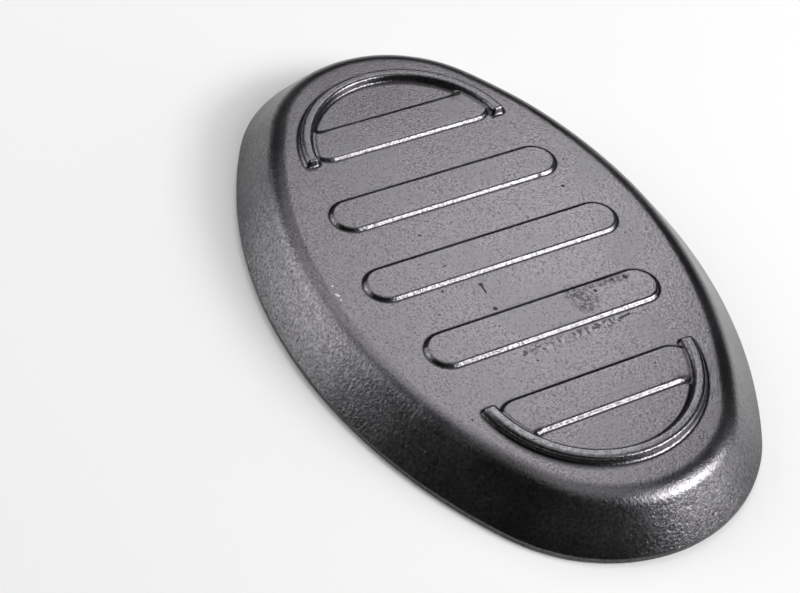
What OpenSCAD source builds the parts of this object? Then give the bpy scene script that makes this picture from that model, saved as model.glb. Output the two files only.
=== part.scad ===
// Oval cast-iron sizzle platter, upside down on its rim as it is stored.
// It is one casting: a thin dish with a flat underside, a round shoulder and a wall
// that flares out to the rim. Five low bars cross the underside, and two arched feet,
// taller than the bars, close in the outer ones. In use it stands on those feet.
// +X runs along the length, +Y across the width and +Z up, away from the dish.
// The origin is below the middle, in the plane that the rim rests on.

/* [Dish] */
// Length over the rim
rim_l = 280; // [264:1:310]
// Width over the rim
rim_w = 175; // [160:1:190]
// Radius of the oval's two ends, at the rim
end_r = 66; // [60:0.5:72]
// Height of the flat underside above the rim's resting plane
body_h = 20.8; // [18:0.1:30]
// Thickness of the iron
wall_t = 4; // [3:0.1:5.5]
// How far the flat underside's edge lies in from the rim
flare = 19.2; // [16:0.1:24]
// Radius of the shoulder between the flat and the wall
shoulder_r = 9.3; // [7.5:0.1:11]

/* [Rim] */
// Height of the rim's upright edge
edge_h = 2.6; // [1.6:0.1:4]
// Rounding of the rim's outer resting corner
lip_r = 0.8; // [0.4:0.1:1]

/* [Bars] */
// Width of a bar, halfway up its sides
bar_w = 16.7; // [13:0.1:18]
// Height of a bar above the flat
bar_h = 1.4; // [1.2:0.1:2.4]
// Length of the middle bar
mid_bar_l = 110.8; // [80:0.1:118]
// Length of the two bars beside the middle one
side_bar_l = 100.2; // [70:0.1:106]
// Distance from one bar's middle to the next
bar_pitch = 38.3; // [26:0.1:42]
// Lean of a bar's sides from upright, in degrees
bar_draft = 40; // [35:1:45]
// Rounding along a bar's top and bottom edges
bar_r = 1.3; // [0.8:0.1:1.4]

/* [Feet] */
// Width of a foot, halfway up its sides
foot_w = 5; // [4.2:0.1:8]
// Height of a foot above the flat
foot_h = 3.3; // [3:0.1:6]
// Gap between a foot and the edge of the flat
foot_gap = 9.7; // [7:0.1:12]
// How far a foot's centre lies in from the end of the rim
foot_setback = 74.6; // [72:0.1:80]
// Sweep of a foot's arc, in degrees
foot_arc = 169; // [166:1:176]
// Lean of a foot's sides from upright, in degrees
foot_draft = 8; // [6:1:15]
// Rounding along a foot's top and bottom edges
foot_r = 1.6; // [0.8:0.1:1.6]
// How far the bar inside a foot lies out from the foot's centre
inner_bar_x = 12.4; // [11:0.1:16]
// Length of the bar inside a foot, measured over its round ends
inner_bar_l = 82; // [80:0.5:84]
// Corner radius of the pocket between a foot and its bar
pocket_r = 4; // [1.5:0.1:4.5]
// Corner radius on the bar's open side, where its round ends meet the foot
notch_r = 2; // [1.2:0.1:2.4]

/* [Hidden] */
$fn = 144;
// Chords in a small rounding
ROUND_STEPS = 4;
// How deep the bars, feet and webs are rooted in the iron
ROOT = 1;
// How far the floor runs under the shoulder's inner edge
LAP = 2;
// How far a swept arc runs past the plane that trims it, in degrees
OVERRUN = 1;

half_l = rim_l / 2;
half_w = rim_w / 2;

// The oval is four tangent arcs: two ends of end_r and two long sides of side_r.
// The ends' centres lie end_x out along X, the sides' centres side_y across the width.
end_x = half_l - end_r;
side_r = (end_x * end_x + half_w * half_w - end_r * end_r) / (2 * (half_w - end_r));
side_y = side_r - half_w;
// Where an end arc meets a side arc, and its direction from their centres
join_a = atan2(side_y, end_x);
join = [end_x + end_r * cos(join_a), end_r * sin(join_a)];

// The wall is the tangent from the top of the rim's edge to the shoulder's circle.
shoulder_c = [-flare, body_h - shoulder_r];
to_shoulder = shoulder_c - [0, edge_h];
wall_a = atan2(to_shoulder.y, -to_shoulder.x) + asin(shoulder_r / norm(to_shoulder));

foot_x = half_l - foot_setback;
// Half the flat's width abreast of the foot's centre, and the flat's reach beyond it
flat_y = sqrt(pow(side_r - flare, 2) - foot_x * foot_x) - side_y;
flat_x = half_l - flare - foot_x;
// Radius of the foot's centre line
foot_mid_r = min(flat_x, flat_y) - foot_gap - foot_w / 2;

// Points along an arc about c, from angle a0 to a1
function arc(c, r, a0, a1) =
    [for (i = [0 : ROUND_STEPS]) let (a = a0 + (a1 - a0) * i / ROUND_STEPS) c + r * [cos(a), sin(a)]];

// Where a circle of radius r0 about the origin meets one of radius r1 about c, on c's left
function meeting(c, r0, r1) =
    let (along = (r0 * r0 - r1 * r1 + c * c) / (2 * norm(c)), aside = sqrt(r0 * r0 - along * along))
    (along * c + aside * [-c.y, c.x]) / norm(c);

// One side of a low bar's section: root, hollow foot, leaning side and round top edge.
// w is its width halfway up, h its height, d the lean of its sides and r its rounding.
function bar_side(w, h, d, r) =
    let (
        hollow = [w / 2 + (h / 2 - r) * tan(d) + r / cos(d), r],
        crown = [w / 2 - (h / 2 - r) * tan(d) - r / cos(d), h - r]
    )
    concat([[hollow.x, -ROOT]], arc(hollow, r, 270, 180 + d), arc(crown, r, d, 90));

function mirrored(points) = [for (i = [len(points) - 1 : -1 : 0]) [-points[i].x, points[i].y]];

// All below a skin that lies depth inside the outer one: the flat, shoulder and wall.
// The shoulder and wall are drawn in the wall's own directions, where they meet exactly.
module under_skin(depth) {
    r = shoulder_r - depth;
    inner = -flare - LAP - ROOT;
    in_wall = [shoulder_c.x + (shoulder_c.y + 2 * ROOT) / tan(wall_a) + r / 2, -2 * ROOT];
    translate(shoulder_c) intersection() {
        rotate(90 - wall_a) union() {
            intersection() {
                circle(r);
                square(2 * r);
            }
            translate([0, -rim_w]) square([r, rim_w]);
        }
        translate([0, -rim_w]) square([rim_w, 2 * rim_w]);
    }
    polygon([[inner, -2 * ROOT], [inner, body_h - depth], [shoulder_c.x, body_h - depth], shoulder_c, in_wall]);
}

// Section of the iron along the oval. The rim's outer face is at x = 0, and the rim
// rests on z = 0 with its outer corner rounded.
module wall_section() {
    inner = -flare - LAP - ROOT;
    intersection() {
        difference() {
            under_skin(0);
            under_skin(wall_t);
        }
        polygon(concat(
            [[0, 2 * body_h], [2 * inner, 2 * body_h], [2 * inner, 0]],
            arc([-lip_r, lip_r], lip_r, 270, 360)
        ));
    }
}

// Sweeps the section drawn by the child round a quarter of the oval.
// Both arcs start from the point where they meet, so that their sections match there.
module round_quarter() {
    end_a = join_a + OVERRUN;
    side_a = 90 - join_a + OVERRUN;
    intersection() {
        translate(join) rotate(join_a) {
            translate([-end_r, 0]) rotate_extrude(angle = end_a, start = -end_a) translate([end_r, 0]) children();
            translate([-side_r, 0]) rotate_extrude(angle = side_a, start = 0) translate([side_r, 0]) children();
        }
        translate([0, 0, -ROOT]) cube([rim_l, rim_w, body_h + 2 * ROOT]);
    }
}

// Sweeps the section drawn by the child once round the oval
module round_oval() {
    for (x = [0, 1]) for (y = [0, 1]) mirror([x, 0, 0]) mirror([0, y, 0]) round_quarter() children();
}

// The oval as an area, drawn in from the rim by inset
module oval(inset) {
    reach = end_x + half_w / tan(join_a);
    for (side = [0, 180]) rotate(side) {
        translate([end_x, 0]) circle(end_r - inset);
        intersection() {
            translate([0, -side_y]) circle(side_r - inset);
            polygon([[-end_x, 0], [end_x, 0], [reach, half_w], [-reach, half_w]]);
        }
    }
}

// A bar with round ends, its length along Y, standing on z = 0
module bar(length, w, h, d, r) {
    side = bar_side(w, h, d, r);
    straight = length - w;
    rotate([90, 0, 0]) linear_extrude(straight, center = true) polygon(concat(side, mirrored(side)));
    for (end = [0, 180]) rotate(end) translate([0, straight / 2, 0])
        rotate_extrude(angle = 180) polygon(concat([[0, -ROOT]], side, [[0, h]]));
}

// An arched foot about its own centre, open towards the middle of the platter
module foot() {
    side = bar_side(foot_w, foot_h, foot_draft, foot_r);
    rotate_extrude(angle = foot_arc, start = -foot_arc / 2)
        translate([foot_mid_r, 0]) polygon(concat(side, mirrored(side)));
}

// Fills a sharp corner between the foot and its bar, to leave a round one of radius r
// about c. The heel lies in the bar, and the crook in the iron behind the corner.
module web(c, r, heel, crook) {
    in_foot = c * (foot_mid_r - foot_w / 2 + ROOT) / norm(c);
    translate([0, 0, -ROOT]) linear_extrude(bar_h + ROOT) difference() {
        polygon([c, heel, crook, in_foot]);
        translate(c) circle(r);
    }
}

// The web in one corner of the pocket
module pocket_web() {
    bar_x = inner_bar_x + bar_w / 2;
    inside_r = foot_mid_r - foot_w / 2;
    c = [bar_x + pocket_r, sqrt(pow(inside_r - pocket_r, 2) - pow(bar_x + pocket_r, 2))];
    crook = [bar_x - 2 * ROOT, sqrt(inside_r * inside_r - bar_x * bar_x) + ROOT];
    web(c, pocket_r, [crook.x, c.y], crook);
}

// The web on the bar's open side, beside one of its round ends
module notch_web() {
    inside_r = foot_mid_r - foot_w / 2;
    end_c = [inner_bar_x, (inner_bar_l - bar_w) / 2];
    c = meeting(end_c, inside_r - notch_r, bar_w / 2 + notch_r);
    corner = meeting(end_c, inside_r, bar_w / 2);
    heel = end_c + (c - end_c) * (bar_w / 2 - 2 * ROOT) / norm(c - end_c);
    web(c, notch_r, heel, corner + ROOT * (corner - c) / norm(corner - c));
}

// One end of the underside: the foot, its bar and the webs between them
module foot_and_bar() {
    foot();
    intersection() {
        translate([inner_bar_x, 0, 0]) bar(inner_bar_l, bar_w, bar_h, bar_draft, bar_r);
        translate([0, 0, -2 * ROOT]) cylinder(h = bar_h + 4 * ROOT, r = foot_mid_r);
    }
    for (side = [0, 1]) mirror([0, side, 0]) {
        pocket_web();
        notch_web();
    }
}

module underside() {
    bar(mid_bar_l, bar_w, bar_h, bar_draft, bar_r);
    for (side = [0, 180]) rotate(side) {
        translate([bar_pitch, 0, 0]) bar(side_bar_l, bar_w, bar_h, bar_draft, bar_r);
        translate([foot_x, 0, 0]) foot_and_bar();
    }
}

module platter() color([0.16, 0.16, 0.165]) {
    round_oval() wall_section();
    translate([0, 0, body_h - wall_t]) linear_extrude(wall_t) oval(flare + LAP);
    translate([0, 0, body_h]) underside();
}

platter();
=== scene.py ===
"""Looks of an oval cast-iron sizzle platter that lies upside down on its rim.

The casting is one closed mesh that stands for the CAD node "platter": the flared wall
with its upright rim edge, the round shoulder, the flat underside with five low bars and
two arched feet, and the plain dish below. The shapes and the marks are given in
millimetres, and the materials, the studio and the camera in metres.
"""

import logging
import math
from dataclasses import dataclass, field
from enum import Enum
from typing import Optional, Sequence

import bpy
import numpy as np
from mathutils import Euler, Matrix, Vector
from mathutils.geometry import delaunay_2d_cdt


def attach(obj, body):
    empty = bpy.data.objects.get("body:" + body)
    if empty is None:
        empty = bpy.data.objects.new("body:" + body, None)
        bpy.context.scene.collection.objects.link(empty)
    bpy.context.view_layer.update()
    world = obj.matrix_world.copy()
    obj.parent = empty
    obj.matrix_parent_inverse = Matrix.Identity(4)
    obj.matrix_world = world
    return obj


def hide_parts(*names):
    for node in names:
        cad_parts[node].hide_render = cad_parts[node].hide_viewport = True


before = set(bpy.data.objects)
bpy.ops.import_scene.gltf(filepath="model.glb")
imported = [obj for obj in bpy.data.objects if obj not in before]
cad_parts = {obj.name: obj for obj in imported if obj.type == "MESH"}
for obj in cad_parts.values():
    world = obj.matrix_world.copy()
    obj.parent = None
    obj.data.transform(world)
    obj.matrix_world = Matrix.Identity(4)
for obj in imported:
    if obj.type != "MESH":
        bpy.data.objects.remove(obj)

LOG = logging.getLogger("sizzle_platter")
MM = 0.001

# Short names for types: two or three measures, two ends of a range, red to alpha, a socket
Point = tuple[float, float]
Span = tuple[float, float]
Triple = tuple[float, float, float]
Colour = tuple[float, float, float, float]
Socket = bpy.types.NodeSocket

# Slack for rounding where two directions are compared
SLACK = 1e-9
# Distance within which two points of a flat mesh are one
SAME_POINT = 1e-5
# Decimals to which the distances of two lines of mesh points are compared
LINE_DECIMALS = 4
# The triangulation's number for filling the whole outline
WHOLE_OUTLINE = 0
# The Mix node's numbers for its factor, its two colours and its mixed colour
MIX_FACTOR, MIX_A, MIX_B, MIX_RESULT = 0, 6, 7, 2
# Distance within which the sheets of the casting are welded to each other
WELD_GAP = 0.004
# How far past an edge's roundings its outermost lines of mesh points run
EDGE_MARGINS = (0.45, 1.3)

# Where a crease's line of painted shade lies, in from the hollow's outer end, and its width
CREASE_INSET = 0.3
CREASE_WIDTH = 0.42
# How far deeper painted shade moves that line up the side, and how much it widens it
SHADE_CLIMB = 0.45
SHADE_SPREAD = 0.35
# Between which places across the near foot its painted shade grows deeper, on its two sides
DEEP_SHADE_INSIDE = (5.0, 25.0)
DEEP_SHADE_OUTSIDE = (0.0, 20.0)
# Heights above the flat between which a foot's top begins
FOOT_TOP = (2.7, 3.25)
# Between which places across the near foot its top gets more worn
WORN_SIDE = (-6.0, 16.0)
# How worn the feet's tops are at least, and how much more on that side
LEAST_WORN = 0.1
MORE_WORN = 0.55


class Side(Enum):
    """The two ends of the platter, as the sign of their place along X."""

    FAR = -1
    NEAR = 1


class Blemish(Enum):
    """What a mark does to the iron's skin."""

    PIT = "dark and sunk"
    BARE = "pale"
    SOOT = "dark in patches"
    CHIPPED = "dark and pale in patches"


class Skin(Enum):
    """The two finishes of the casting, as material slots of its mesh."""

    OUTSIDE = 0
    DISH = 1


def smooth_step(value: np.ndarray, low: float, high: float) -> np.ndarray:
    """Eases from 0 at low to 1 at high.

    Args:
        value: The values to ease.
        low: Where the ease starts.
        high: Where the ease ends.

    Returns:
        The eased values, between 0 and 1.
    """
    t = np.clip((value - low) / (high - low), 0.0, 1.0)
    return t * t * (3.0 - 2.0 * t)


@dataclass
class RaisedEdge:
    """The edge of a raised form: a round top corner, a leaning side and a hollow foot."""

    height: float
    draft: float
    crown: float
    hollow: float
    steps: int = 4

    @property
    def lean(self) -> float:
        """Lean of the side from upright, in radians."""
        return math.radians(self.draft)

    @property
    def crown_reach(self) -> float:
        """How far the top corner reaches in from the middle of the side."""
        return self.reach_of(self.crown)

    @property
    def reach(self) -> float:
        """How far the hollow reaches out from the middle of the side."""
        return self.reach_of(self.hollow)

    def reach_of(self, radius: float) -> float:
        """Gives how far a rounding of that radius reaches from the middle of the side."""
        return (self.height / 2 - radius) * math.tan(self.lean) + radius / math.cos(self.lean)

    def rise(self, distance: np.ndarray) -> np.ndarray:
        """Gives the height at a distance out from the middle of the leaning side.

        Args:
            distance: Distance from the outline, positive outside the form.

        Returns:
            The height above the flat, in the same shape as distance.
        """
        cos = math.cos(self.lean)
        side = self.height / 2 - distance / math.tan(self.lean)
        hollow_x = np.clip(self.reach - distance, 0.0, self.hollow * cos)
        hollow = self.hollow - np.sqrt(self.hollow**2 - hollow_x**2)
        crown_x = np.clip(distance + self.crown_reach, 0.0, self.crown * cos)
        crown = self.height - self.crown + np.sqrt(self.crown**2 - crown_x**2)
        low = distance > self.reach - self.hollow * cos
        high = distance < self.crown * cos - self.crown_reach
        return np.where(low, hollow, np.where(high, crown, side))

    def crease_shade(self, distance: np.ndarray, deep_shade: float | np.ndarray = 0.0) -> np.ndarray:
        """Gives how dark the painted shade in the crease along the edge is, from 0 to 1.

        Args:
            distance: Distance from the outline, positive outside the form.
            deep_shade: How far the painted shade has climbed up the side and widened, from 0 to 1.

        Returns:
            The darkness, in the same shape as distance.
        """
        deepest = self.reach - CREASE_INSET - SHADE_CLIMB * deep_shade
        width = CREASE_WIDTH + SHADE_SPREAD * deep_shade
        return np.exp(-(((distance - deepest) / width) ** 2))

    def contour_offsets(self) -> list[float]:
        """Lists the distances at which the edge needs a line of mesh points.

        Returns:
            Distances out from the middle of the side, in rising order.
        """
        offsets = [self.reach + margin for margin in EDGE_MARGINS]
        offsets += [-self.crown_reach - margin for margin in EDGE_MARGINS]
        for i in range(self.steps + 1):
            tilt = (math.pi / 2 - self.lean) * i / self.steps
            offsets.append(self.reach - self.hollow * math.sin(tilt))
            offsets.append(self.crown * math.sin(tilt) - self.crown_reach)
        return sorted(set(round(offset, LINE_DECIMALS) for offset in offsets))


@dataclass
class OvalPlan:
    """The oval seen from above: two round ends and two long sides of tangent arcs."""

    length: float = 280.0
    width: float = 175.0
    end_radius: float = 66.0
    end_points: int = 46
    side_points: int = 76

    @property
    def end_x(self) -> float:
        """How far out the centres of the round ends lie."""
        return self.length / 2 - self.end_radius

    @property
    def side_radius(self) -> float:
        """Radius of the long sides."""
        half = self.width / 2
        return (self.end_x**2 + half**2 - self.end_radius**2) / (2 * (half - self.end_radius))

    @property
    def side_y(self) -> float:
        """How far beyond the middle the centres of the long sides lie."""
        return self.side_radius - self.width / 2

    @property
    def join(self) -> float:
        """Direction in which a round end meets a long side, in radians."""
        return math.atan2(self.side_y, self.end_x)

    def normals(self) -> np.ndarray:
        """Lists the outward directions of the points round the oval, without a repeat.

        Returns:
            X, Y rows of length 1.
        """
        end = np.linspace(0.0, self.join, self.end_points, endpoint=False)
        side = np.linspace(self.join, math.pi / 2, self.side_points, endpoint=False)
        angles = np.concatenate([end, side])
        mirrored = np.concatenate([[math.pi / 2], math.pi - angles[:0:-1]])
        half = np.concatenate([angles, mirrored])
        full = np.concatenate([half, half + math.pi])
        return np.column_stack([np.cos(full), np.sin(full)])

    def ring(self, inset: float) -> np.ndarray:
        """Places the points round the oval.

        Args:
            inset: How far the ring lies in from the rim.

        Returns:
            One X, Y pair for each direction in normals().
        """
        n = self.normals()
        steep = np.abs(n[:, 1]) >= math.sin(self.join) - SLACK
        end = np.column_stack([np.sign(n[:, 0]) * self.end_x, np.zeros(len(n))])
        side = np.column_stack([np.zeros(len(n)), -np.sign(n[:, 1]) * self.side_y])
        centre = np.where(steep[:, None], side, end)
        radius = np.where(steep, self.side_radius, self.end_radius) - inset
        return centre + radius[:, None] * n

    def inset_at(self, x: np.ndarray, y: np.ndarray) -> np.ndarray:
        """Measures how far in from the rim a point lies.

        Args:
            x: The points' places along the platter.
            y: The points' places across the platter.

        Returns:
            The inset of each point.
        """
        ax, ay = np.abs(x), np.abs(y)
        by_side = self.side_radius - np.hypot(ax, ay + self.side_y)
        by_end = self.end_radius - np.hypot(ax - self.end_x, ay)
        on_side = np.arctan2(ay + self.side_y, ax) >= self.join
        return np.where(on_side, by_side, by_end)


def arc(centre: Point, radius: float, start: float, end: float, steps: int) -> list[Point]:
    """Lists points on an arc.

    Args:
        centre: The arc's centre.
        radius: The arc's radius.
        start: First direction, in radians.
        end: Last direction.
        steps: How many chords the arc has.

    Returns:
        The points, with both ends.
    """
    points = []
    for i in range(steps + 1):
        angle = start + (end - start) * i / steps
        points.append((centre[0] + radius * math.cos(angle), centre[1] + radius * math.sin(angle)))
    return points


def between(start: Point, end: Point, steps: int) -> list[Point]:
    """Lists the points that divide a straight run into steps, without its ends.

    Args:
        start: One end of the run.
        end: Its other end.
        steps: How many steps it has.

    Returns:
        The points, from the start on.
    """
    (x0, y0), (x1, y1) = start, end
    return [(x0 + (x1 - x0) * i / steps, y0 + (y1 - y0) * i / steps) for i in range(1, steps)]


@dataclass
class DishWall:
    """Section of the wall, from the dish's ceiling round the rim to the flat underside.

    Its points are pairs of inset from the rim and height. The steps are the chords of
    the roundings and of the straight runs, on the outside and in the dish.
    """

    body_height: float = 20.8
    flare: float = 19.9
    shoulder_radius: float = 10.76
    thickness: float = 4.0
    edge_height: float = 2.6
    lip_radius: float = 0.8
    brow_radius: float = 0.7
    inner_lip_radius: float = 0.5
    shoulder_steps: int = 13
    run_steps: int = 9
    lip_steps: int = 4
    brow_steps: int = 3
    dish_shoulder_steps: int = 7
    dish_run_steps: int = 8
    dish_lip_steps: int = 3

    @property
    def slope(self) -> float:
        """Angle of the wall from the rim's plane, in radians."""
        across = self.flare
        up = self.body_height - self.shoulder_radius - self.edge_height
        return math.atan2(up, across) + math.asin(self.shoulder_radius / math.hypot(across, up))

    @property
    def shoulder_centre(self) -> Point:
        """Centre of the shoulder's roundings."""
        return self.flare, self.body_height - self.shoulder_radius

    def dish_section(self) -> list[Point]:
        """Draws the inside from the dish's ceiling down to the resting land.

        Returns:
            Pairs of inset and height.
        """
        up = math.pi / 2
        radius = self.shoulder_radius - self.thickness
        curve = arc(self.shoulder_centre, radius, up, up + self.slope, self.dish_shoulder_steps)
        tangent = curve[-1]
        foot = tangent[0] - tangent[1] / math.tan(self.slope)
        run = between(tangent, (foot, 0.0), self.dish_run_steps)
        r = self.inner_lip_radius
        corner = foot - r * math.tan(self.slope / 2)
        return curve + run + arc((corner, r), r, self.slope - up, -up, self.dish_lip_steps)

    def outer_section(self) -> list[Point]:
        """Draws the outside from the resting land up to the edge of the flat.

        Returns:
            Pairs of inset and height.
        """
        up = math.pi / 2
        r = self.lip_radius
        lip = arc((r, r), r, 1.5 * math.pi, math.pi, self.lip_steps)
        r = self.brow_radius
        turn = up - self.slope
        low = self.edge_height - r * math.tan(turn / 2)
        brow = arc((r, low), r, math.pi, math.pi - turn, self.brow_steps)
        shoulder = arc(
            self.shoulder_centre, self.shoulder_radius, up + self.slope, up, self.shoulder_steps
        )
        return lip + brow + between(brow[-1], shoulder[0], self.run_steps) + shoulder


@dataclass
class CrossBar:
    """A low bar with round ends across the underside."""

    centre_x: float
    length: float
    width: float = 16.7
    edge: RaisedEdge = field(default_factory=lambda: RaisedEdge(1.4, 40.0, 1.3, 1.3))
    end_points: int = 26
    side_points: int = 38

    @property
    def straight(self) -> float:
        """Half the length between the centres of the round ends."""
        return (self.length - self.width) / 2

    def distance(self, x: np.ndarray, y: np.ndarray) -> np.ndarray:
        """Measures the distance outside the bar's outline, negative inside it."""
        along = np.maximum(np.abs(y) - self.straight, 0.0)
        return np.hypot(x - self.centre_x, along) - self.width / 2

    def height(self, x: np.ndarray, y: np.ndarray) -> np.ndarray:
        """Gives the bar's height above the flat."""
        return self.edge.rise(self.distance(x, y))

    def contours(self) -> list[np.ndarray]:
        """Draws the closed lines of mesh points along the bar's edge.

        Returns:
            The X, Y rows of each line.
        """
        lines = []
        for offset in self.edge.contour_offsets():
            r = self.width / 2 + offset
            bend = np.linspace(0.0, math.pi, self.end_points)
            run = np.linspace(self.straight, -self.straight, self.side_points)[1:-1]
            cap = np.column_stack([r * np.cos(bend), self.straight + r * np.sin(bend)])
            side = np.column_stack([np.full(len(run), -r), run])
            half = np.concatenate([cap, side])
            lines.append(np.concatenate([half, -half]) + [self.centre_x, 0.0])
        return lines


@dataclass
class ArchedFoot:
    """An arched foot at one end, with the bar inside it and round webs between the two.

    The points say how finely the lines of mesh points follow each form, and the least
    sizes and the clearance keep these lines from crossing themselves.
    """

    side: Side
    setback: float = 74.6
    half_length: float = 140.0
    mid_radius: float = 43.2
    width: float = 5.0
    sweep: float = 169.0
    corner: float = 1.3
    outer_web: float = 4.0
    inner_web: float = 2.0
    edge: RaisedEdge = field(default_factory=lambda: RaisedEdge(3.3, 8.0, 1.6, 1.6, 6))
    bar: CrossBar = field(default_factory=lambda: CrossBar(12.4, 82.0))
    fillet: float = 0.5
    least_corner: float = 0.02
    least_hollow: float = 0.05
    clearance: float = 0.15
    arch_points: int = 118
    corner_points: int = 5
    web_points: int = 9
    end_points: int = 14
    side_points: int = 22
    pocket_web_points: int = 10
    pocket_side_points: int = 18

    def local(self, x: np.ndarray) -> np.ndarray:
        """Turns a place along the platter into one measured outwards from the foot's centre."""
        return x * self.side.value - (self.half_length - self.setback)

    def place(self, u: np.ndarray, v: np.ndarray) -> np.ndarray:
        """Turns places out from the foot's centre into X, Y pairs on the platter."""
        x = (u + self.half_length - self.setback) * self.side.value
        return np.column_stack([x, v])

    def foot_distance(self, x: np.ndarray, y: np.ndarray) -> np.ndarray:
        """Measures how far outside the foot's outline a point lies.

        Args:
            x: The points' places along the platter.
            y: The points' places across the platter.

        Returns:
            The distance of each point, negative inside the outline.
        """
        u = self.local(x)
        across = np.abs(np.hypot(u, y) - self.mid_radius) - (self.width / 2 - self.corner)
        past_end = np.abs(np.arctan2(y, u)) - math.radians(self.sweep) / 2
        along = past_end * self.mid_radius + self.corner
        outside = np.hypot(np.maximum(across, 0.0), np.maximum(along, 0.0))
        return outside + np.minimum(np.maximum(across, along), 0.0) - self.corner

    def bar_distance(self, x: np.ndarray, y: np.ndarray) -> np.ndarray:
        """Measures how far outside the outline of the bar and its webs a point lies.

        Args:
            x: The points' places along the platter.
            y: The points' places across the platter.

        Returns:
            The distance of each point, negative inside the outline.
        """
        u = self.local(x)
        bar = self.bar.distance(u, y)
        foot = self.foot_distance(x, y)
        web = np.where(u > self.bar.centre_x, self.outer_web, self.inner_web)
        corner = np.hypot(np.maximum(web - bar, 0.0), np.maximum(web - foot, 0.0))
        return np.maximum(web, np.minimum(bar, foot)) - corner

    def height(self, x: np.ndarray, y: np.ndarray) -> np.ndarray:
        """Gives the height of the foot and its bar, which a small fillet joins.

        Args:
            x: The points' places along the platter.
            y: The points' places across the platter.

        Returns:
            The height of each point above the flat.
        """
        foot = self.edge.rise(self.foot_distance(x, y))
        bar = self.bar.edge.rise(self.bar_distance(x, y))
        bar = np.where(np.hypot(self.local(x), y) < self.mid_radius, bar, 0.0)
        near = np.maximum(self.fillet - np.abs(foot - bar), 0.0) / self.fillet
        both = smooth_step(np.minimum(foot, bar), 0.0, self.fillet)
        return np.maximum(foot, bar) + near**2 * self.fillet / 4 * both

    def foot_contours(self) -> list[np.ndarray]:
        """Draws the closed lines of mesh points along the foot's edge.

        Returns:
            The X, Y rows of each line.
        """
        half = math.radians(self.sweep) / 2
        turn = np.linspace(math.pi / 2, 0.0, self.corner_points)
        lines = []
        for offset in self.edge.contour_offsets():
            corner = max(self.corner + offset, self.least_corner)
            reach = self.width / 2 + min(offset, self.width / 2 - self.clearance) - corner
            stop = half - (self.corner - max(0.0, -offset - self.corner)) / self.mid_radius
            run = np.linspace(-stop, stop, self.arch_points)
            side = np.full(len(run), reach + corner)
            across = reach + corner * np.sin(turn)
            cap = np.concatenate([across, -across[::-1]])
            along = corner * np.cos(turn)
            cap_angle = stop + np.concatenate([along, along[::-1]]) / self.mid_radius
            r = self.mid_radius + np.concatenate([side[:-1], cap, -side[1:-1], -cap])
            angle = np.concatenate([run[:-1], cap_angle, -run[1:-1], -cap_angle])
            lines.append(self.place(r * np.cos(angle), r * np.sin(angle)))
        return lines

    def web_centre(self, web: float, outward: bool) -> Point:
        """Finds the centre of a web's hollow, between the bar and the foot's inner wall.

        Args:
            web: Radius of the hollow.
            outward: Whether the web is on the pocket's side of the bar.

        Returns:
            The centre, measured from the foot's centre.
        """
        wall = self.mid_radius - self.width / 2 - web
        straight = self.bar.straight
        if outward:
            u = self.bar.centre_x + self.bar.width / 2 + web
            return u, math.sqrt(wall**2 - u**2)
        reach = self.bar.width / 2 + web
        span = math.hypot(self.bar.centre_x, straight)
        along = (wall**2 - reach**2 + span**2) / (2 * span)
        aside = math.sqrt(wall**2 - along**2)
        u = (along * self.bar.centre_x - aside * straight) / span
        return u, (along * straight + aside * self.bar.centre_x) / span

    def bar_contours(self) -> list[np.ndarray]:
        """Draws the open lines of mesh points along both sides of the bar and its webs.

        Returns:
            The X, Y rows of each line.
        """
        lines = []
        for offset in self.bar.edge.contour_offsets():
            lines.append(self.open_side_line(offset))
            lines.append(self.pocket_side_line(offset))
        return lines

    def open_side_line(self, offset: float) -> np.ndarray:
        """Draws a line along the bar's open side, its round ends and their webs.

        Args:
            offset: How far out from the bar's outline the line runs.

        Returns:
            The line's X, Y rows.
        """
        bar = self.bar
        r = bar.width / 2 + offset
        cu, cv = self.web_centre(self.inner_web, False)
        hollow = max(self.inner_web - offset, self.least_hollow)
        touch = math.atan2(cv - bar.straight, cu - bar.centre_x)
        bend = np.linspace(math.atan2(cv, cu), touch - math.pi, self.web_points)
        end = np.linspace(touch, math.pi, self.end_points)[1:]
        run = np.linspace(bar.straight, 0.0, self.side_points)[1:]
        side_u = np.full(len(run), bar.centre_x - r)
        u = [cu + hollow * np.cos(bend), bar.centre_x + r * np.cos(end), side_u]
        v = [cv + hollow * np.sin(bend), bar.straight + r * np.sin(end), run]
        return self.mirrored_line(np.concatenate(u), np.concatenate(v))

    def pocket_side_line(self, offset: float) -> np.ndarray:
        """Draws a line along the bar's side in the pocket and the webs beside it.

        Args:
            offset: How far out from the bar's outline the line runs.

        Returns:
            The line's X, Y rows.
        """
        cu, cv = self.web_centre(self.outer_web, True)
        hollow = self.outer_web - offset
        bend = np.linspace(math.atan2(cv, cu), math.pi, self.pocket_web_points)
        run = np.linspace(cv, 0.0, self.pocket_side_points)[1:]
        u = [cu + hollow * np.cos(bend), np.full(len(run), cu - hollow)]
        v = [cv + hollow * np.sin(bend), run]
        return self.mirrored_line(np.concatenate(u), np.concatenate(v))

    def mirrored_line(self, u: np.ndarray, v: np.ndarray) -> np.ndarray:
        """Joins a line that ends on the middle plane with its mirror image."""
        return self.place(np.concatenate([u, u[-2::-1]]), np.concatenate([v, -v[-2::-1]]))


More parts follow.
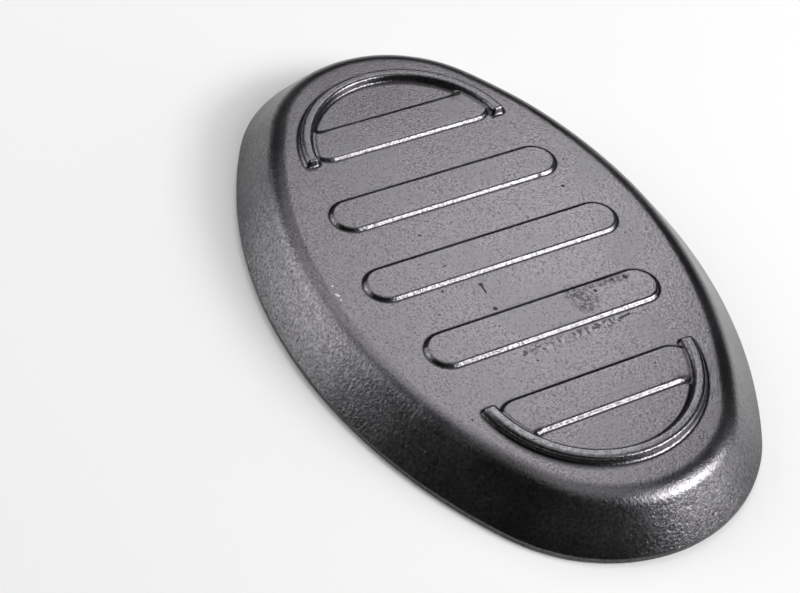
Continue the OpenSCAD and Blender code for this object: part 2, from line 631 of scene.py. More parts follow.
@dataclass
class CastUnevenness:
    """The slight waves that sand casting leaves on every face."""

    seed: int = 7
    waves: int = 40
    shortest: float = 9.0
    longest: float = 60.0

    def field(self, points: np.ndarray) -> np.ndarray:
        """Gives the wave height at each point.

        Args:
            points: X, Y, Z rows.

        Returns:
            Values that lie mostly between -1 and 1.
        """
        rng = np.random.default_rng(self.seed)
        total = np.zeros(len(points))
        weight = 0.0
        for _ in range(self.waves):
            direction = rng.normal(size=3)
            direction /= np.linalg.norm(direction)
            length = math.exp(rng.uniform(math.log(self.shortest), math.log(self.longest)))
            phase = rng.uniform(0.0, 2 * math.pi)
            share = length / self.longest
            total += share * np.sin(points @ direction * (2 * math.pi / length) + phase)
            weight += share**2 / 2
        return np.clip(total / (2.0 * math.sqrt(weight)), -1.0, 1.0)


def triangulate(points: np.ndarray, edges: Sequence[tuple[int, int]] = ()) -> tuple[np.ndarray, list]:
    """Fills the outline of a set of points with triangles.

    Args:
        points: X, Y rows.
        edges: Pairs of point numbers that have to stay joined.

    Returns:
        X, Y rows and the triangles between them.
    """
    flat = [Vector(p) for p in points]
    verts, _, faces, *_ = delaunay_2d_cdt(flat, list(edges), [], WHOLE_OUTLINE, SAME_POINT)
    return np.array([tuple(v) for v in verts]), faces


@dataclass
class MeshStock:
    """Gathers points with their outward directions, and faces with their skins."""

    points: list[np.ndarray] = field(default_factory=list)
    pushes: list[np.ndarray] = field(default_factory=list)
    faces: list[tuple] = field(default_factory=list)
    skins: list[int] = field(default_factory=list)
    count: int = 0

    def add_points(self, plan: np.ndarray, height: object, outward: np.ndarray, up: float) -> None:
        """Adds points.

        Args:
            plan: X, Y rows.
            height: One height for all, or one for each.
            outward: The level part of their outward directions.
            up: The upright part of these directions.
        """
        rows = len(plan)
        self.points.append(np.column_stack([plan, np.broadcast_to(height, rows)]))
        self.pushes.append(np.column_stack([np.broadcast_to(outward, (rows, 2)), np.full(rows, up)]))
        self.count += rows

    def add_faces(self, faces: list[tuple], skin: Skin) -> None:
        """Adds faces of one skin."""
        self.faces += faces
        self.skins += [skin.value] * len(faces)

    def add_level(self, plan: np.ndarray, height: object, triangles: list, skin: Skin) -> None:
        """Adds a level sheet, which faces up outside and down in the dish.

        Args:
            plan: X, Y rows.
            height: One height for all, or one for each.
            triangles: Rows of point numbers within the sheet.
            skin: The sheet's skin.
        """
        first = self.count
        turn = -1 if skin is Skin.DISH else 1
        self.add_points(plan, height, np.zeros(2), float(turn))
        self.add_faces([tuple(first + i for i in face[::turn]) for face in triangles], skin)


@dataclass
class PlatterCasting:
    """The whole casting as one closed mesh.

    The fill and ceiling fields say how far the plain mesh points between the forms reach
    from the middle, how far apart they are and how clear of other lines they stay. The
    wall's waves fade to the flat's between two places, measured in from the flat's edge,
    and the slack is how far below the flat a point still counts as the underside's.
    """

    plan: OvalPlan = field(default_factory=OvalPlan)
    wall: DishWall = field(default_factory=DishWall)
    unevenness: CastUnevenness = field(default_factory=CastUnevenness)
    fill_pitch: float = 3.0
    fill_row: float = 0.866
    fill_half: Point = (124.0, 70.0)
    fill_rim_gap: float = 1.2
    fill_form_gap: float = 2.4
    ceiling_pitch: float = 6.0
    ceiling_half: Point = (120.0, 66.0)
    ceiling_gap: float = 2.0
    flat_waves: float = 0.05
    wall_waves: float = 0.14
    wave_fade: Span = (-8.0, 2.0)
    flat_slack: float = 0.01
    bars: list[CrossBar] = field(
        default_factory=lambda: [
            CrossBar(0.0, 110.8),
            CrossBar(-38.3, 100.2),
            CrossBar(38.3, 100.2),
        ]
    )
    feet: list[ArchedFoot] = field(
        default_factory=lambda: [ArchedFoot(Side.FAR), ArchedFoot(Side.NEAR)]
    )

    def relief(self, x: np.ndarray, y: np.ndarray) -> np.ndarray:
        """Gives the height of the bars and feet.

        Args:
            x: The points' places along the platter.
            y: The points' places across the platter.

        Returns:
            The height of each point above the flat.
        """
        total = np.zeros(len(x))
        for part in [*self.bars, *self.feet]:
            total = np.maximum(total, part.height(x, y))
        return total

    def crease_shade(self, x: np.ndarray, y: np.ndarray) -> np.ndarray:
        """Gives the painted shade in the crease round a bar or foot, deeper and wider on one side of
        the near foot.

        Args:
            x: The points' places along the platter.
            y: The points' places across the platter.

        Returns:
            The darkness of each point, from 0 to 1.
        """
        darkest = np.zeros(len(x))
        for bar in self.bars:
            darkest = np.maximum(darkest, bar.edge.crease_shade(bar.distance(x, y)))
        for foot in self.feet:
            inside = np.hypot(foot.local(x), y) < foot.mid_radius
            bar_side = foot.bar.edge.crease_shade(foot.bar_distance(x, y)) * inside
            darkest = np.maximum(darkest, bar_side)
            deep_shade = np.where(inside, smooth_step(y, *DEEP_SHADE_INSIDE), smooth_step(-y, *DEEP_SHADE_OUTSIDE))
            foot_side = foot.edge.crease_shade(foot.foot_distance(x, y), deep_shade * (x > 0))
            darkest = np.maximum(darkest, foot_side)
        return darkest

    def worn(self, x: np.ndarray, y: np.ndarray) -> np.ndarray:
        """Gives how worn a foot's top is, most so on one half of the near foot.

        Args:
            x: The points' places along the platter.
            y: The points' places across the platter.

        Returns:
            The wear of each point, from 0 to 1.
        """
        on_top = smooth_step(self.relief(x, y), *FOOT_TOP)
        most = smooth_step(-y, *WORN_SIDE) * (x > 0)
        return on_top * (LEAST_WORN + MORE_WORN * most)

    def fill_points(self) -> np.ndarray:
        """Spreads plain mesh points over the flat, clear of every edge.

        Returns:
            X, Y rows.
        """
        pitch = self.fill_pitch
        half_x, half_y = self.fill_half
        rows = []
        for j, y in enumerate(np.arange(-half_y, half_y, pitch * self.fill_row)):
            x = np.arange(-half_x, half_x, pitch) + (pitch / 2 if j % 2 else 0.0)
            rows.append(np.column_stack([x, np.full(len(x), y)]))
        points = np.concatenate(rows)
        x, y = points[:, 0], points[:, 1]
        gap = self.fill_form_gap
        keep = self.plan.inset_at(x, y) > self.wall.flare + self.fill_rim_gap
        for bar in self.bars:
            keep &= np.abs(bar.distance(x, y)) > bar.edge.reach + gap
        for foot in self.feet:
            keep &= np.abs(foot.foot_distance(x, y)) > foot.edge.reach + gap
            inside = np.hypot(foot.local(x), y) < foot.mid_radius
            keep &= ~inside | (np.abs(foot.bar_distance(x, y)) > foot.bar.edge.reach + gap)
        return points[keep]

    def flat_mesh(self) -> tuple[np.ndarray, list]:
        """Triangulates the flat underside along the lines of its bars and feet.

        Returns:
            X, Y pairs and the triangles between them.
        """
        points = [self.plan.ring(self.wall.flare)]
        edges = []
        count = len(points[0])
        lines = [(line, True) for bar in self.bars for line in bar.contours()]
        for foot in self.feet:
            lines += [(line, True) for line in foot.foot_contours()]
            lines += [(line, False) for line in foot.bar_contours()]
        for line, closed in lines:
            last = len(line) if closed else len(line) - 1
            edges += [(count + i, count + (i + 1) % len(line)) for i in range(last)]
            points.append(line)
            count += len(line)
        points.append(self.fill_points())
        return triangulate(np.concatenate(points), edges)

    def ceiling_mesh(self) -> tuple[np.ndarray, list]:
        """Triangulates the flat inside of the dish.

        Returns:
            X, Y rows and the triangles between them.
        """
        ranges = [np.arange(-half, half + 1.0, self.ceiling_pitch) for half in self.ceiling_half]
        x, y = np.meshgrid(*ranges)
        grid = np.column_stack([x.ravel(), y.ravel()])
        keep = self.plan.inset_at(grid[:, 0], grid[:, 1]) > self.wall.flare + self.ceiling_gap
        return triangulate(np.concatenate([self.plan.ring(self.wall.flare), grid[keep]]))

    def add_wall(self, stock: MeshStock) -> None:
        """Sweeps the wall's section round the oval, from the dish's ceiling to the flat.

        Args:
            stock: Takes the wall's points and faces.
        """
        directions = self.plan.normals()
        count = len(directions)
        around = [(i, (i + 1) % count) for i in range(count)]
        inside = self.wall.dish_section()
        section = inside + self.wall.outer_section()
        slopes = np.gradient(np.array(section), axis=0)
        for (inset, height), (d_inset, d_height) in zip(section, slopes):
            length = math.hypot(d_inset, d_height)
            outward = directions * (d_height / length)
            stock.add_points(self.plan.ring(inset), height, outward, d_inset / length)
        for ring in range(len(section) - 1):
            low = ring * count
            high = low + count
            skin = Skin.DISH if ring < len(inside) - 1 else Skin.OUTSIDE
            stock.add_faces([(low + i, low + j, high + j, high + i) for i, j in around], skin)

    def build(self) -> bpy.types.Object:
        """Makes the casting's mesh object.

        Returns:
            The object, in metres and in the frame's own axes.
        """
        stock = MeshStock()
        self.add_wall(stock)
        flat, triangles = self.flat_mesh()
        top = self.wall.body_height + self.relief(flat[:, 0], flat[:, 1])
        stock.add_level(flat, top, triangles, Skin.OUTSIDE)
        ceiling, triangles = self.ceiling_mesh()
        stock.add_level(ceiling, self.wall.body_height - self.wall.thickness, triangles, Skin.DISH)
        exact = np.concatenate(stock.points)
        points = self.cast(exact, np.concatenate(stock.pushes))
        casting = self.to_object(points, stock.faces, stock.skins)
        underside = exact[:, 2] > self.wall.body_height - self.flat_slack
        # One attribute holds the painted shade in the creases, the other the real wear of the feet's
        # tops
        for name, field_at in (("crease_shade", self.crease_shade), ("worn", self.worn)):
            attribute = casting.data.attributes.new(name, "FLOAT", "POINT")
            attribute.data.foreach_set("value", field_at(exact[:, 0], exact[:, 1]) * underside)
        return casting

    def dress(self, casting: bpy.types.Object, finishes: dict[Skin, bpy.types.Material]) -> None:
        """Gives the casting its finishes.

        Args:
            casting: The casting's object.
            finishes: The material of each skin.
        """
        for skin in Skin:
            casting.data.materials.append(finishes[skin])

    def cast(self, points: np.ndarray, pushes: np.ndarray) -> np.ndarray:
        """Lays the casting's slight waves on the exact shape, never beyond it.

        Args:
            points: X, Y, Z rows of the exact shape.
            pushes: The outward direction of each point.

        Returns:
            The moved points.
        """
        inset = self.plan.inset_at(points[:, 0], points[:, 1])
        ends = [self.wall.flare + past for past in self.wave_fade]
        on_wall = 1.0 - smooth_step(inset, *ends)
        waves = (self.unevenness.field(points) - 1.0) / 2.0
        depth = self.flat_waves + (self.wall_waves - self.flat_waves) * on_wall
        moved = points + pushes * (waves * depth)[:, None]
        moved[:, 2] = np.maximum(moved[:, 2], 0.0)
        return moved

    def to_object(self, points: np.ndarray, faces: list, skins: list[int]) -> bpy.types.Object:
        """Puts the points and faces into a smooth-shaded Blender object.

        Args:
            points: X, Y, Z rows in millimetres.
            faces: Rows of point numbers.
            skins: The material slot of each face.

        Returns:
            The object.
        """
        mesh = bpy.data.meshes.new("platter_casting")
        mesh.from_pydata((points * MM).tolist(), [], faces)
        mesh.polygons.foreach_set("material_index", skins)
        mesh.polygons.foreach_set("use_smooth", [True] * len(faces))
        casting = bpy.data.objects.new("platter_casting", mesh)
        bpy.context.scene.collection.objects.link(casting)
        weld = casting.modifiers.new("weld", "WELD")
        weld.merge_threshold = WELD_GAP * MM
        normals = casting.modifiers.new("flat_faces_lead", "WEIGHTED_NORMAL")
        normals.keep_sharp = False
        return casting


@dataclass(frozen=True)
class Ramp:
    """A smooth change of one value, while another runs from low to high."""

    low: float
    high: float
    to_low: float = 0.0
    to_high: float = 1.0


@dataclass(frozen=True)
class Lumps:
    """A kind of noise: the size of its lumps in metres, and how many finer layers it has."""

    size: float
    detail: float


class NodeSheet:
    """Adds and joins the nodes of one material or node group."""

    def __init__(self, tree: bpy.types.NodeTree) -> None:
        """Starts on an empty tree."""
        self.tree = tree
        self.tree.nodes.clear()

    def add(self, kind: str, inputs: Optional[dict] = None, **settings: object) -> bpy.types.Node:
        """Adds a node.

        Args:
            kind: The node's type.
            inputs: Values or sockets for its inputs, by name or number.
            settings: Attributes to set on the node.

        Returns:
            The node.
        """
        node = self.tree.nodes.new(kind)
        for name, value in settings.items():
            setattr(node, name, value)
        for name, value in (inputs or {}).items():
            self.feed(node.inputs[name], value)
        return node

    def feed(self, socket: Socket, value: object) -> None:
        """Feeds an input of a node.

        Args:
            socket: The input.
            value: The socket that it is joined to, or its plain value.
        """
        if isinstance(value, Socket):
            self.tree.links.new(value, socket)
        else:
            socket.default_value = value

    def math(self, operation: str, a: object, b: object, clamp: bool = False) -> Socket:
        """Joins two values by an arithmetic node and gives its result."""
        node = self.add("ShaderNodeMath", {0: a, 1: b}, operation=operation, use_clamp=clamp)
        return node.outputs[0]

    def vector(self, operation: str, a: object, b: object) -> Socket:
        """Joins two vectors by an arithmetic node and gives its result."""
        node = self.add("ShaderNodeVectorMath", {0: a, 1: b}, operation=operation)
        return node.outputs["Value" if operation in ("DOT_PRODUCT", "DISTANCE") else "Vector"]

    def spread(self, value: object, ramp: Ramp) -> Socket:
        """Maps a value smoothly by a ramp.

        Args:
            value: The value or its socket.
            ramp: What the value becomes.

        Returns:
            The socket with the result.
        """
        ends = {
            "From Min": ramp.low,
            "From Max": ramp.high,
            "To Min": ramp.to_low,
            "To Max": ramp.to_high,
        }
        inputs = {"Value": value, **ends}
        node = self.add("ShaderNodeMapRange", inputs, interpolation_type="SMOOTHSTEP")
        return node.outputs["Result"]

    def blend(self, factor: object, a: object, b: object) -> Socket:
        """Mixes two colours.

        Args:
            factor: The second colour's share.
            a: The first colour or its socket.
            b: The second colour or its socket.

        Returns:
            The socket with the mixed colour.
        """
        inputs = {MIX_FACTOR: factor, MIX_A: a, MIX_B: b}
        return self.add("ShaderNodeMix", inputs, data_type="RGBA").outputs[MIX_RESULT]

    def noise(self, place: Socket, scale: object, detail: float, rough: float = 0.5) -> Socket:
        """Adds noise.

        Args:
            place: Where it is read, in metres.
            scale: About how many lumps it has to the metre.
            detail: How many finer layers it has.
            rough: How strong these are.

        Returns:
            The socket with its value.
        """
        inputs = {"Vector": place, "Scale": scale, "Detail": detail, "Roughness": rough}
        return self.add("ShaderNodeTexNoise", inputs).outputs["Fac"]

    def lumps(self, place: Socket, kind: Lumps) -> Socket:
        """Adds noise of one kind and gives its value."""
        return self.noise(place, 1.0 / kind.size, kind.detail)

    def group(self, tree: bpy.types.NodeTree, inputs: dict) -> object:
        """Places a node group and gives its outputs."""
        return self.add("ShaderNodeGroup", inputs, node_tree=tree).outputs


def new_group(
    name: str, inputs: dict[str, Optional[float]], outputs: Sequence[str]
) -> tuple[bpy.types.NodeTree, NodeSheet]:
    """Makes an empty shader node group.

    Args:
        name: The group's name.
        inputs: The default of each value input, or None where it takes a vector.
        outputs: The names of its value outputs.

    Returns:
        The group and a sheet to draw its nodes on.
    """
    group = bpy.data.node_groups.new(name, "ShaderNodeTree")
    for label, default in inputs.items():
        kind = "NodeSocketVector" if default is None else "NodeSocketFloat"
        socket = group.interface.new_socket(label, in_out="INPUT", socket_type=kind)
        if default is not None:
            socket.default_value = default
    for label in outputs:
        group.interface.new_socket(label, in_out="OUTPUT", socket_type="NodeSocketFloat")
    return group, NodeSheet(group)


# Keeps the square of a dot's length above nothing
TINY = 1e-12
# Scale of the grain's coarser lumps, as a share of its own
LUMP_SCALE = 0.6
# Which part of the fine grain counts as its peaks
GRAIN_PEAKS = Ramp(0.54, 0.72)
# How a stroke and a speck fade out towards their full reach
STROKE_EDGE = Ramp(0.5, 1.0, 1.0, 0.0)
SPECK_EDGE = Ramp(0.4, 1.0, 1.0, 0.0)


class SharedEffects:
    """The node groups that the finishes of the iron use."""

    def __init__(self) -> None:
        """Builds each group once."""
        self.grain = self.build_grain()
        self.specks = self.build_specks()
        self.stroke = self.build_stroke()

    def build_grain(self) -> bpy.types.NodeTree:
        """Makes the sand grain: a height in metres and a mask of its peaks.

        Returns:
            The node group.
        """
        group, sheet = new_group(
            "sand_grain",
            {"Place": None, "Grain Size": 0.0008, "Depth": 0.00004, "Lumps": 0.5},
            ["Height", "Peaks"],
        )
        given = sheet.add("NodeGroupInput").outputs
        scale = sheet.math("DIVIDE", 1.0, given["Grain Size"])
        fine = sheet.noise(given["Place"], scale, detail=3.0, rough=0.6)
        coarse_scale = sheet.math("MULTIPLY", scale, LUMP_SCALE)
        coarse = sheet.noise(given["Place"], coarse_scale, detail=2.0)
        total = sheet.math("ADD", fine, sheet.math("MULTIPLY", coarse, given["Lumps"]))
        height = sheet.math("MULTIPLY", total, given["Depth"])
        sheet.add("NodeGroupOutput", {"Height": height, "Peaks": sheet.spread(fine, GRAIN_PEAKS)})
        return group

    def build_stroke(self) -> bpy.types.NodeTree:
        """Makes a mark along a straight stroke, or a dot where its two ends agree.

        Returns:
            The node group.
        """
        places = {"Place": None, "Start": None, "End": None}
        group, sheet = new_group("stroke", {**places, "Reach": 0.0005}, ["Mask"])
        given = sheet.add("NodeGroupInput").outputs
        run = sheet.vector("SUBTRACT", given["End"], given["Start"])
        away = sheet.vector("SUBTRACT", given["Place"], given["Start"])
        square = sheet.math("ADD", sheet.vector("DOT_PRODUCT", run, run), TINY)
        share = sheet.math("DIVIDE", sheet.vector("DOT_PRODUCT", away, run), square, clamp=True)
        scaled = sheet.add("ShaderNodeVectorMath", {0: run, "Scale": share}, operation="SCALE")
        gap = sheet.vector("DISTANCE", away, scaled.outputs[0])
        gap = sheet.math("DIVIDE", gap, given["Reach"])
        sheet.add("NodeGroupOutput", {"Mask": sheet.spread(gap, STROKE_EDGE)})
        return group

    def build_specks(self) -> bpy.types.NodeTree:
        """Makes scattered round specks, whose radius is a share of their spacing.

        Returns:
            The node group.
        """
        group, sheet = new_group(
            "scattered_specks",
            {"Place": None, "Spacing": 0.006, "Radius": 0.08, "Share": 0.3},
            ["Mask"],
        )
        given = sheet.add("NodeGroupInput").outputs
        scale = sheet.math("DIVIDE", 1.0, given["Spacing"])
        cells = sheet.add("ShaderNodeTexVoronoi", {"Vector": given["Place"], "Scale": scale}).outputs
        pick = sheet.add("ShaderNodeSeparateColor", {"Color": cells["Color"]}).outputs[0]
        chosen = sheet.math("LESS_THAN", pick, given["Share"])
        closeness = sheet.math("DIVIDE", cells["Distance"], given["Radius"])
        mask = sheet.math("MULTIPLY", sheet.spread(closeness, SPECK_EDGE), chosen)
        sheet.add("NodeGroupOutput", {"Mask": mask})
        return group


@dataclass(frozen=True)
class Mark:
    """One mark on the casting, as a stroke between two points in millimetres."""

    kind: Blemish
    reach: float
    start: Triple
    end: Optional[Triple] = None


MARKS = (
    Mark(Blemish.PIT, 0.6, (-18.7, -22.5, 20.8)),
    Mark(Blemish.PIT, 0.6, (11.3, -29.0, 20.8)),
    Mark(Blemish.PIT, 1.1, (13.8, -13.6, 20.8)),
    Mark(Blemish.PIT, 0.45, (13.8, -13.6, 20.8), (18.2, -13.9, 20.8)),
    Mark(Blemish.PIT, 1.1, (26.9, -14.8, 20.8)),
    Mark(Blemish.PIT, 1.2, (33.2, 39.6, 22.2)),
    Mark(Blemish.PIT, 0.8, (32.6, 34.0, 22.2)),
    Mark(Blemish.PIT, 0.8, (35.0, 24.7, 22.2)),
    Mark(Blemish.PIT, 0.8, (-21.3, 45.1, 20.8)),
    Mark(Blemish.PIT, 1.0, (-29.8, 39.0, 21.3)),
    Mark(Blemish.PIT, 1.2, (79.9, 44.3, 22.6)),
    Mark(Blemish.PIT, 0.7, (134.7, 14.5, 6.8)),
    Mark(Blemish.PIT, 0.5, (49.9, 26.4, 20.8), (49.4, 31.2, 20.8)),
    Mark(Blemish.BARE, 0.8, (80.7, 41.8, 24.0)),
    Mark(Blemish.BARE, 0.7, (58.3, -67.6, 15.9), (57.0, -62.9, 19.8)),
    Mark(Blemish.BARE, 0.6, (-7.6, -66.2, 20.7)),
    Mark(Blemish.BARE, 0.7, (-3.1, -66.9, 20.7), (-2.1, -66.3, 20.7)),
    Mark(Blemish.BARE, 0.6, (0.2, -66.5, 20.7)),
    Mark(Blemish.BARE, 0.8, (134.6, 15.7, 6.6)),
    Mark(Blemish.BARE, 0.4, (131.9, 25.0, 6.2)),
    Mark(Blemish.SOOT, 7.0, (32.2, 16.9, 22.2), (38.6, 18.4, 22.2)),
    Mark(Blemish.SOOT, 2.8, (31.5, 24.0, 22.2), (32.5, 37.0, 22.2)),
    Mark(Blemish.CHIPPED, 2.6, (50.8, -15.9, 20.8), (50.1, 25.0, 20.8)),
)


# How the upright part of a face's direction turns from the wall to the flat
WALL_FACING = Ramp(0.75, 0.97, 1.0, 0.0)
# Turn of the noises, in radians, so that none lines up with the casting
NOISE_TURN = (0.6, 0.4, 0.3)
CLOUDS = Lumps(0.03, 4.0)
MOTTLE = Lumps(0.0009, 1.0)
WALL_SPECKS = Lumps(0.0013, 2.0)
BLOTCHES = Lumps(0.0014, 3.0)
CHIPS = Lumps(0.0016, 2.0)
# Between which of its values each noise shows, and how strongly
CLOUD_TONE = Ramp(0.3, 0.7, 0.0, 0.2)
CLOUD_ROUGHNESS = Ramp(0.3, 0.7, -0.04, 0.04)
MOTTLE_TONE = Ramp(0.52, 0.26, 0.0, 0.45)
WALL_DARK_SPECKS = Ramp(0.52, 0.36, 0.0, 0.36)
# The pale specks on the wall are painted sparkle, where its facets catch the light
WALL_SPARKLE_SPECKS = Ramp(0.52, 0.68, 0.0, 0.3)
CHIPS_TONE = Ramp(0.45, 0.6, 0.1, 0.8)
SOOT_TONE = Ramp(0.4, 0.62, 0.12, 0.7)
CHIPPED_DARK = Ramp(0.5, 0.4, 0.0, 0.75)
CHIPPED_PALE = Ramp(0.54, 0.68, 0.0, 0.35)
# From the flat to the wall: how strong the grain's lumps are and its peaks shine
WALL_LUMPS = Ramp(0.0, 1.0, 0.5, 1.3)
WALL_SPARKLE = Ramp(0.0, 1.0, 0.26, 0.6)
# Heights between which the darker band along the rim fades out, in metres
RIM_BAND = (0.001, 0.014)
# Spacing in metres, radius and share of the scattered specks
PITS = {"Spacing": 0.005, "Radius": 0.095, "Share": 0.3}
GLINTS = {"Spacing": 0.0035, "Radius": 0.1, "Share": 0.25}
# How deep a pit is in the bump, in metres
PIT_DEPTH = 0.0001


@dataclass
class Coat:
    """The colour of a skin, built up in layers."""

    sheet: NodeSheet
    tone: object

    def lay(self, colour: Sequence[float], mask: object, share: object = None) -> None:
        """Lays a colour over the skin.

        Args:
            colour: The layer's colour.
            mask: Where it shows, from 0 to 1.
            share: A second mask or a strength, or None for neither.
        """
        if share is not None:
            mask = self.sheet.math("MULTIPLY", mask, share)
        self.tone = self.sheet.blend(mask, self.tone, colour)


@dataclass(frozen=True)
class IronFinish:
    """How the black iron looks on one of its faces."""

    name: str
    body: Colour = (0.1225, 0.1168, 0.1252, 1.0)
    lights: Colour = (0.26, 0.257, 0.266, 1.0)
    dark: Colour = (0.018, 0.017, 0.018, 1.0)
    bare: Colour = (0.36, 0.355, 0.36, 1.0)
    metal: float = 0.95
    ior: float = 1.6
    roughness: float = 0.26
    wall_roughness: float = 0.27
    grain_size: float = 0.0008
    grain_depth: float = 0.00009
    rim_dark: float = 0.38
    pit_dark: float = 0.9
    # How strongly the painted shade in the creases darkens the skin
    crease_shade_strength: float = 0.8
    glint_strength: float = 0.3
    bare_strength: float = 0.6
    marks: tuple[Mark, ...] = ()

    def mark_masks(
        self, sheet: NodeSheet, place: Socket, effects: SharedEffects
    ) -> dict[Blemish, object]:
        """Draws the marks.

        Args:
            sheet: The material's nodes.
            place: Where a point lies on the casting, in metres.
            effects: The shared node groups.

        Returns:
            One mask for each kind of blemish, 0 where there is none.
        """
        masks = {kind: 0.0 for kind in Blemish}
        for mark in self.marks:
            inputs = {
                "Place": place,
                "Start": [c * MM for c in mark.start],
                "End": [c * MM for c in mark.end or mark.start],
                "Reach": mark.reach * MM,
            }
            stroke = sheet.group(effects.stroke, inputs)["Mask"]
            masks[mark.kind] = sheet.math("MAXIMUM", masks[mark.kind], stroke)
        return masks

    def wear_and_crease_shade(self, coat: Coat, turned: Socket, masks: dict[Blemish, object]) -> None:
        """Lays the worn feet, the painted shade in the creases and the marks of use over the cast
        skin.

        Args:
            coat: The skin's colour so far.
            turned: Where the noises are read.
            masks: The marks, by kind.
        """
        sheet = coat.sheet
        worn = sheet.add("ShaderNodeAttribute", attribute_name="worn").outputs["Fac"]
        crease_shade = sheet.add("ShaderNodeAttribute", attribute_name="crease_shade").outputs["Fac"]
        chips = sheet.lumps(turned, CHIPS)
        blotch = sheet.lumps(turned, BLOTCHES)
        coat.lay(self.lights, worn, sheet.spread(chips, CHIPS_TONE))
        # Painted shade in the creases at the foot of the bars and feet
        coat.lay(self.dark, crease_shade, self.crease_shade_strength)
        coat.lay(self.dark, masks[Blemish.SOOT], sheet.spread(blotch, SOOT_TONE))
        coat.lay(self.dark, masks[Blemish.CHIPPED], sheet.spread(blotch, CHIPPED_DARK))
        coat.lay(self.lights, masks[Blemish.CHIPPED], sheet.spread(blotch, CHIPPED_PALE))
        coat.lay(self.bare, masks[Blemish.BARE], self.bare_strength)
        coat.lay(self.dark, masks[Blemish.PIT], self.pit_dark)

    def make(self, effects: SharedEffects) -> bpy.types.Material:
        """Builds the material.

        Args:
            effects: The shared node groups.

        Returns:
            The material.
        """
        material = bpy.data.materials.new(self.name)
        material.use_nodes = True
        material.diffuse_color = self.body
        sheet = NodeSheet(material.node_tree)
        coordinates = sheet.add("ShaderNodeTexCoord").outputs
        place = coordinates["Object"]
        facing = sheet.add("ShaderNodeSeparateXYZ", {0: coordinates["Normal"]}).outputs["Z"]
        up = sheet.add("ShaderNodeSeparateXYZ", {0: place}).outputs["Z"]
        wall = sheet.spread(facing, WALL_FACING)
        turned = sheet.add("ShaderNodeMapping", {"Vector": place, "Rotation": NOISE_TURN}).outputs[0]
        coarseness = sheet.spread(wall, WALL_LUMPS)
        sizes = {"Grain Size": self.grain_size, "Depth": self.grain_depth, "Lumps": coarseness}
        grain = sheet.group(effects.grain, {"Place": turned, **sizes})
        pits = sheet.group(effects.specks, {"Place": place, **PITS})["Mask"]
        glints = sheet.group(effects.specks, {"Place": place, **GLINTS})["Mask"]
        cloud = sheet.lumps(turned, CLOUDS)
        mottle = sheet.lumps(turned, MOTTLE)
        coarse = sheet.lumps(turned, WALL_SPECKS)
        coat = Coat(sheet, self.body)
        coat.lay(self.lights, sheet.spread(cloud, CLOUD_TONE))
        coat.lay(self.dark, sheet.spread(mottle, MOTTLE_TONE))
        coat.lay(self.dark, sheet.spread(coarse, WALL_DARK_SPECKS), wall)
        # Painted highlights: pale specks and grain peaks on the wall stand for its facets catching
        # the light
        coat.lay(self.lights, sheet.spread(coarse, WALL_SPARKLE_SPECKS), wall)
        coat.lay(self.lights, grain["Peaks"], sheet.spread(wall, WALL_SPARKLE))
        coat.lay(self.dark, sheet.spread(up, Ramp(*RIM_BAND, self.rim_dark, 0.0)))
        coat.lay(self.dark, pits, self.pit_dark)
        coat.lay(self.lights, glints, self.glint_strength)
        masks = self.mark_masks(sheet, place, effects)
        self.wear_and_crease_shade(coat, turned, masks)
        rough = sheet.spread(wall, Ramp(0.0, 1.0, self.roughness, self.wall_roughness))
        sunk = sheet.math("MAXIMUM", pits, masks[Blemish.PIT])
        height = sheet.math("SUBTRACT", grain["Height"], sheet.math("MULTIPLY", sunk, PIT_DEPTH))
        bump = sheet.add("ShaderNodeBump", {"Height": height, "Distance": 1.0, "Strength": 1.0})
        finish = {
            "Base Color": coat.tone,
            "Roughness": sheet.math("ADD", rough, sheet.spread(cloud, CLOUD_ROUGHNESS)),
            "Metallic": self.metal,
            "Normal": bump.outputs["Normal"],
            "IOR": self.ior,
        }
        shader = sheet.add("ShaderNodeBsdfPrincipled", finish)
        sheet.add("ShaderNodeOutputMaterial", {"Surface": shader.outputs[0]})
        return material


@dataclass(frozen=True)
class SoftBox:
    """One soft studio light, aimed at the middle of the platter.

    Its angles are in degrees, and its size and distance in metres.
    """

    name: str
    azimuth: float
    elevation: float
    width: float
    height: float
    radiance: float
    distance: float = 1.4

    def place(self) -> bpy.types.Object:
        """Adds the light to the scene, at its radiance whatever its size.

        Returns:
            The lamp.
        """
        light = bpy.data.lights.new(self.name, "AREA")
        light.shape = "RECTANGLE"
        light.size = self.width
        light.size_y = self.height
        light.energy = self.radiance * math.pi * self.width * self.height
        lamp = bpy.data.objects.new(self.name, light)
        az, el = math.radians(self.azimuth), math.radians(self.elevation)
        towards = Vector((math.cos(el) * math.cos(az), math.cos(el) * math.sin(az), math.sin(el)))
        lamp.location = towards * self.distance
        lamp.rotation_euler = towards.to_track_quat("Z", "Y").to_euler()
        bpy.context.scene.collection.objects.link(lamp)
        return lamp


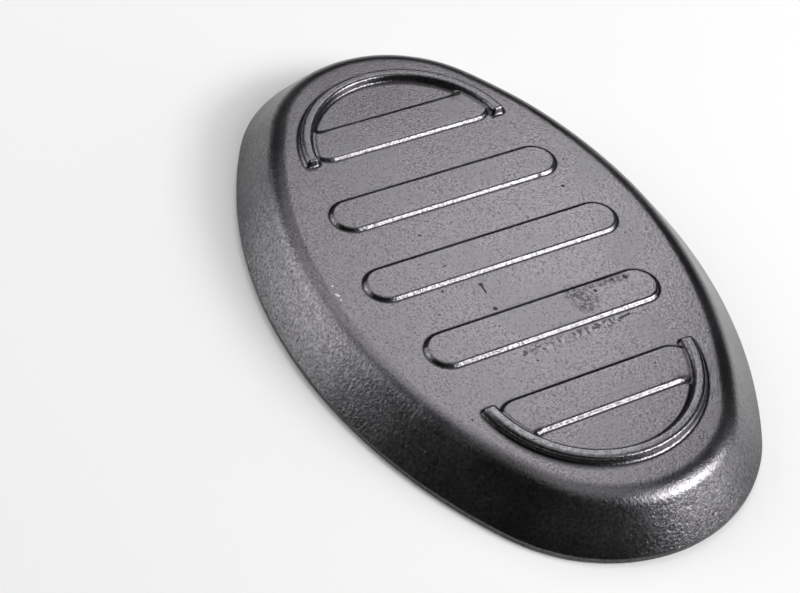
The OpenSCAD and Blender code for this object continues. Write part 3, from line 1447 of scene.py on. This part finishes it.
@dataclass
class Studio:
    """The pale floor, the soft lights and the dim room around them.

    The floor's lift is a faint glow that only the camera, mirrors and glass see.
    """

    floor_half: float = 6.0
    floor_tone: Colour = (0.8, 0.8, 0.8, 1.0)
    floor_roughness: float = 0.9
    floor_lift: float = 0.04
    room: Colour = (0.01, 0.01, 0.0105, 1.0)
    lights: tuple[SoftBox, ...] = (
        SoftBox("right_low", 43.0, 29.6, 1.17, 0.46, 17.6, 2.0),
        SoftBox("right_side", 60.0, 20.0, 0.4, 0.5, 3.8),
        SoftBox("right_floor", 50.0, 11.0, 0.8, 0.34, 1.6),
        SoftBox("right_middle", 41.0, 43.5, 1.07, 0.6, 6.6, 2.0),
        SoftBox("left_low", 228.0, 17.0, 1.0, 0.62, 2.9),
        SoftBox("left_middle", 226.0, 40.0, 0.75, 0.4, 2.7),
        SoftBox("far_middle", 147.0, 45.0, 0.7, 0.38, 2.5),
        SoftBox("far_bright", 136.5, 42.5, 0.34, 0.19, 3.5),
        SoftBox("far_high", 158.0, 63.0, 1.1, 0.46, 1.8),
        SoftBox("left_high", 195.0, 48.0, 0.5, 0.42, 1.4),
        SoftBox("overhead", 30.0, 84.0, 0.9, 0.9, 0.8),
    )

    def build_floor(self) -> None:
        """Lays the pale floor that the rim rests on."""
        half = self.floor_half
        corners = [(-half, -half, 0), (half, -half, 0), (half, half, 0), (-half, half, 0)]
        mesh = bpy.data.meshes.new("floor")
        mesh.from_pydata(corners, [], [(0, 1, 2, 3)])
        floor = bpy.data.objects.new("floor", mesh)
        bpy.context.scene.collection.objects.link(floor)
        material = bpy.data.materials.new("pale_floor")
        material.use_nodes = True
        sheet = NodeSheet(material.node_tree)
        finish = {"Base Color": self.floor_tone, "Roughness": self.floor_roughness}
        shader = sheet.add("ShaderNodeBsdfPrincipled", finish)
        rays = sheet.add("ShaderNodeLightPath").outputs
        seen = sheet.math("ADD", rays["Is Camera Ray"], rays["Is Glossy Ray"])
        seen = sheet.math("ADD", seen, rays["Is Transmission Ray"], clamp=True)
        strength = sheet.math("MULTIPLY", seen, self.floor_lift)
        lift = sheet.add("ShaderNodeEmission", {"Strength": strength})
        both = sheet.add("ShaderNodeAddShader", {0: shader.outputs[0], 1: lift.outputs[0]})
        sheet.add("ShaderNodeOutputMaterial", {"Surface": both.outputs[0]})
        mesh.materials.append(material)

    def build_room(self) -> None:
        """Sets the dim even light that comes from all round."""
        world = bpy.data.worlds.new("dim_room")
        bpy.context.scene.world = world
        world.use_nodes = True
        sheet = NodeSheet(world.node_tree)
        back = sheet.add("ShaderNodeBackground", {"Color": self.room, "Strength": 1.0})
        sheet.add("ShaderNodeOutputWorld", {"Surface": back.outputs[0]})

    def build(self) -> None:
        """Builds the whole studio."""
        self.build_floor()
        self.build_room()
        for light in self.lights:
            light.place()
        bpy.context.scene.view_settings.view_transform = "Standard"


@dataclass
class PhotoCamera:
    """A camera where the photograph's stood, its rotation in degrees."""

    location: Triple = (0.43605, -0.33605, 0.55203)
    rotation: Triple = (44.0025, -5.5901, 61.6085)
    lens: float = 88.916
    sensor: float = 36.0
    clip_start: float = 0.01

    def build(self) -> None:
        """Adds the camera and makes it the scene's own."""
        data = bpy.data.cameras.new("photo_camera")
        data.lens = self.lens
        data.sensor_width = self.sensor
        data.clip_start = self.clip_start
        camera = bpy.data.objects.new("photo_camera", data)
        camera.location = self.location
        camera.rotation_euler = Euler([math.radians(a) for a in self.rotation], "XYZ")
        bpy.context.scene.collection.objects.link(camera)
        bpy.context.scene.camera = camera


def main() -> None:
    """Builds the camera, the casting and the studio."""
    logging.basicConfig(level=logging.INFO, format="%(name)s: %(message)s")
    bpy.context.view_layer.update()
    PhotoCamera().build()
    effects = SharedEffects()
    platter = PlatterCasting()
    casting = platter.build()
    outside = IronFinish("black_iron_outside", marks=MARKS)
    dish = IronFinish("black_iron_dish", roughness=0.28, grain_depth=0.00005)
    platter.dress(casting, {Skin.OUTSIDE: outside.make(effects), Skin.DISH: dish.make(effects)})
    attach(casting, "root")
    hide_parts("platter")
    LOG.info("casting: %d faces", len(casting.data.polygons))
    Studio().build()
    LOG.info("studio built")


if __name__ == "__main__":
    main()
